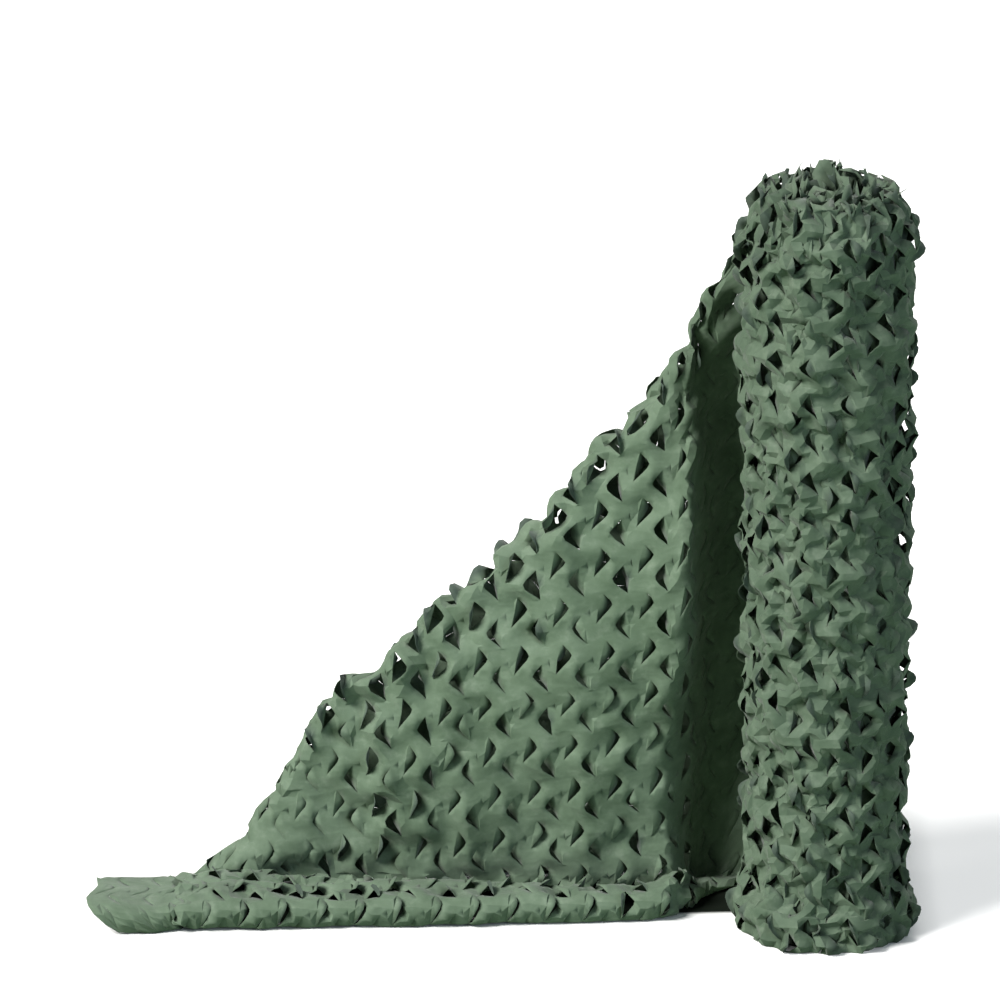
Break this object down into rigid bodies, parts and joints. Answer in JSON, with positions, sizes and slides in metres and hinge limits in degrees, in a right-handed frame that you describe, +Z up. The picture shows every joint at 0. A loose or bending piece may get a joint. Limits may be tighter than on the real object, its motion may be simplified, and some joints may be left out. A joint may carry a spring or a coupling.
{
  "type": "camouflage netting",
  "caption": "Upright roll of green die-cut camouflage netting with its loose end pulled out and draped to the ground.",
  "frame": {"origin": "centre of the roll's base, on the ground", "axes": "+Z up along the roll's axis, loose end towards -X, front face towards -Y"},
  "size_m": [1.6657, 0.58, 1.548],
  "materials": {
    "net_cloth_rolled": "matte woven polyester",
    "net_cloth_loose": "matte woven polyester"
  },
  "bodies": {
    "root": {"roll": "net_cloth_rolled", "loose_end": "net_cloth_loose"}
  },
  "joints": []
}
